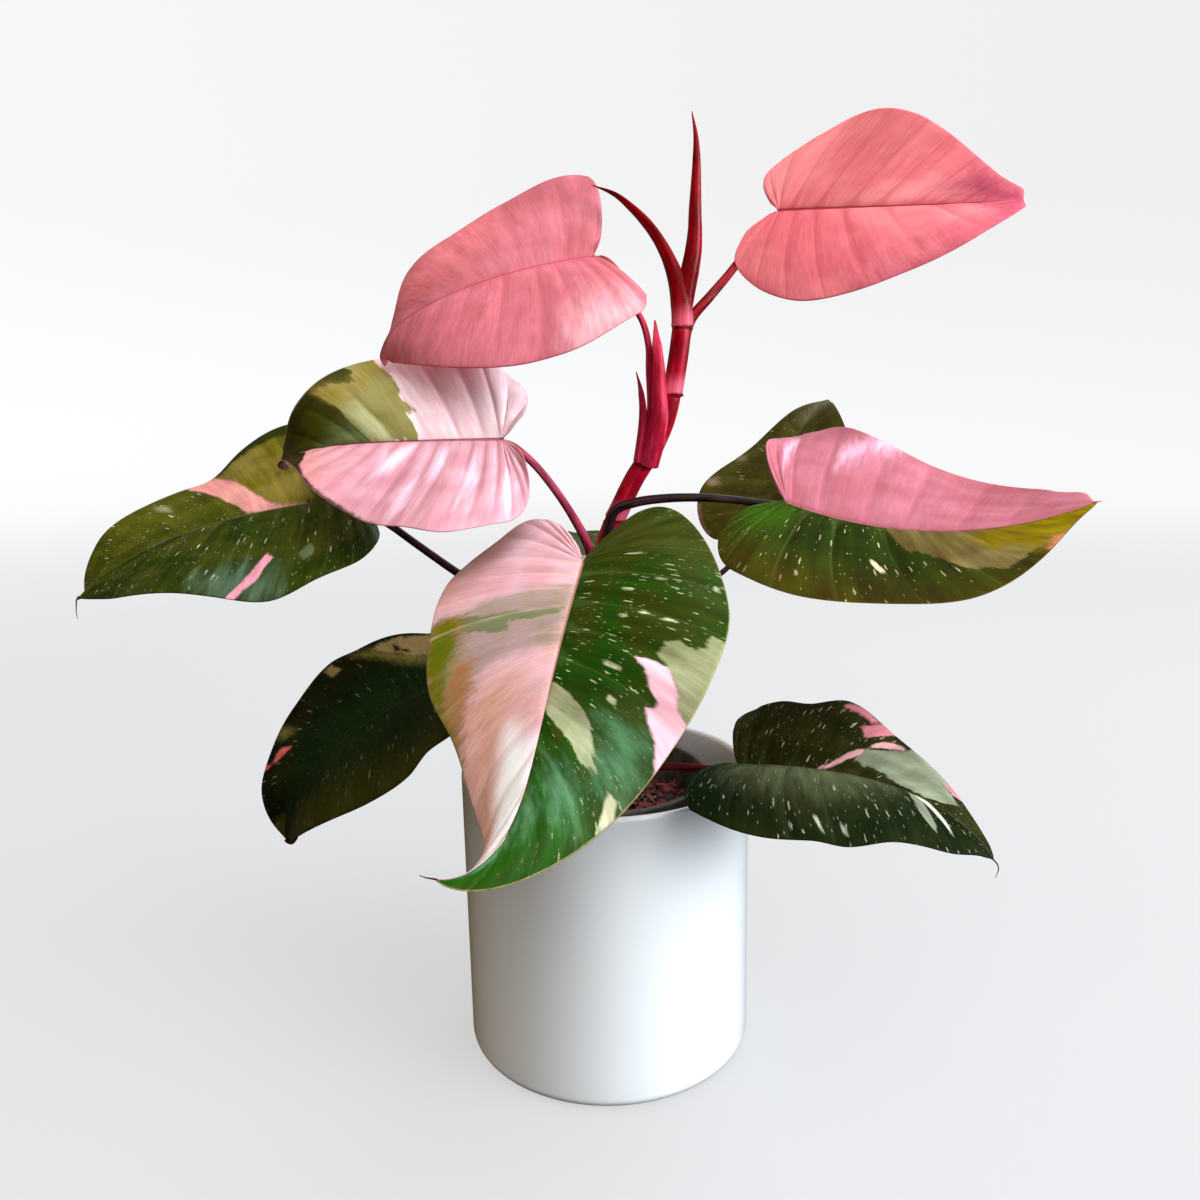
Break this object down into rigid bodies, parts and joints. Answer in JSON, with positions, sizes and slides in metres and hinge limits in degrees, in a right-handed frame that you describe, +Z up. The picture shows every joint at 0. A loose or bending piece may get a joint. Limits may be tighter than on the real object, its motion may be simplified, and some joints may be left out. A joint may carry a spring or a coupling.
{
  "type": "potted pink princess philodendron",
  "caption": "Potted pink princess philodendron: leaning red stem, heart-shaped pink and dark green marbled leaves on long petioles, in a plain white cylindrical cover pot.",
  "frame": {"origin": "middle of the pot's flat underside", "axes": "+Z up along the pot's axis; -Y is the front, the side the largest leaf hangs over; +X to the right seen from the front"},
  "size_m": [0.5209, 0.3415, 0.484],
  "materials": {
    "glaze": "white satin glaze",
    "nursery_plastic": "thin dark brown-grey moulded plastic",
    "potting_mix": "damp bark chips and fibre, matt",
    "red_stem": "smooth waxy red rind",
    "dark_red": "smooth dark red furled leaf",
    "dark_petiole": "smooth waxy maroon rind",
    "red_petiole": "smooth waxy red rind",
    "pink_blade": "satin pink leaf",
    "pink_green_blade": "satin leaf, pink with olive marbling",
    "green_pink_blade": "glossy leaf, dark green with pink and olive marbling",
    "dark_green_blade": "glossy leaf, near-black green with small cream flecks"
  },
  "bodies": {
    "root": {"pot": "glaze", "nursery_pot": "nursery_plastic", "soil": "potting_mix", "stem": "red_stem", "leaf_top_right": "pink_blade", "petiole_top_right": "red_stem", "leaf_top_left": "pink_blade", "petiole_top_left": "red_stem", "leaf_mid_left": "pink_green_blade", "petiole_mid_left": "red_petiole", "leaf_far_left": "green_pink_blade", "petiole_far_left": "dark_petiole", "leaf_low_left": "dark_green_blade", "petiole_low_left": "dark_petiole", "leaf_front": "green_pink_blade", "petiole_front": "dark_petiole", "leaf_right": "pink_green_blade", "petiole_right": "dark_petiole", "leaf_back_right": "dark_green_blade", "petiole_back_right": "dark_petiole", "leaf_low_right": "dark_green_blade", "petiole_low_right": "red_petiole", "leaf_back": "dark_green_blade", "petiole_back": "dark_petiole", "new_leaf": "dark_red", "bent_sheath": "red_stem", "upright_sheath": "red_stem", "small_sheath": "red_stem"}
  },
  "joints": []
}
